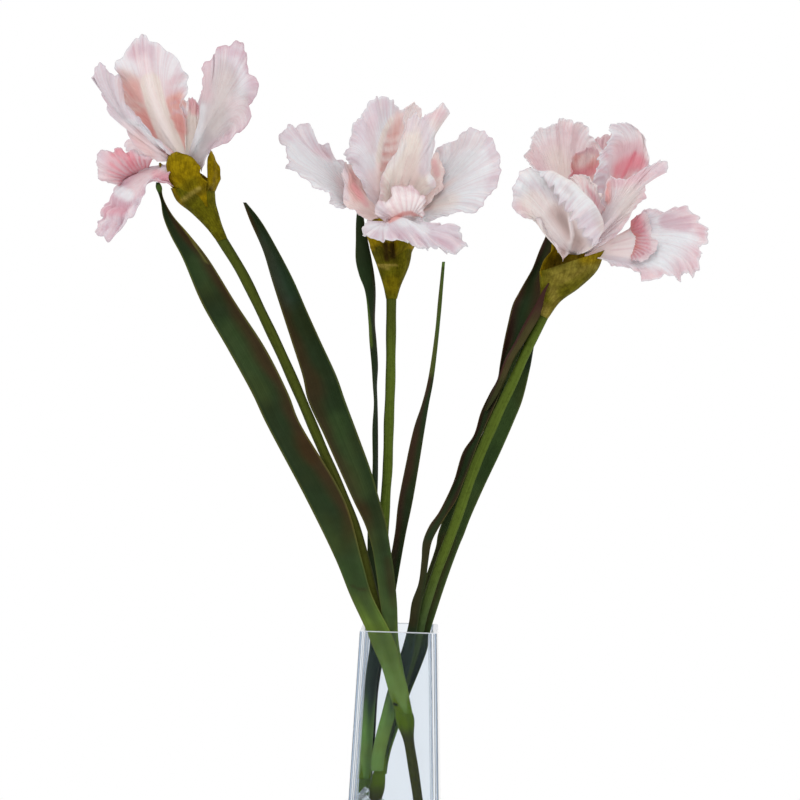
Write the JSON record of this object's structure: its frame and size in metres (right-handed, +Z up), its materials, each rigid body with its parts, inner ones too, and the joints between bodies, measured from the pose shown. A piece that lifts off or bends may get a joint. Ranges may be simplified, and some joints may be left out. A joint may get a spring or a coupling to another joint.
{
  "type": "irises in a vase",
  "caption": "Ruffled pale pink bearded irises with long dark sword leaves, standing in clear crystals in a tall, square, tapered glass vase.",
  "frame": {"origin": "centre of the vase's underside, where the vase rests on the table", "axes": "+Z up, -Y towards the front of the arrangement, +X to the right as seen from the front"},
  "size_m": [0.4895, 0.1446, 0.713],
  "materials": {
    "vase_glass": "clear, polished, faintly blue at its edges",
    "crystals": "clear to milky, glossy",
    "stems": "olive green, satin",
    "leaves": "very dark green with a maroon flush, fresh green at the foot, satin",
    "spathes": "olive yellow, mottled, matte",
    "petals": "pale pink with cream ribs and lilac-pink margins, soft matte"
  },
  "bodies": {
    "root": {"glass_vase": "vase_glass", "crystal_filler": "crystals", "stem_left": "stems", "stem_middle": "stems", "stem_right": "stems", "leaf_left_1": "leaves", "leaf_left_2": "leaves", "leaf_middle_1": "leaves", "leaf_middle_2": "leaves", "leaf_right_1": "leaves", "leaf_right_2": "leaves", "spathe_left": "spathes", "spathe_middle": "spathes", "spathe_right": "spathes", "bloom_left": "petals", "bloom_middle": "petals", "bloom_right": "petals"}
  },
  "joints": []
}
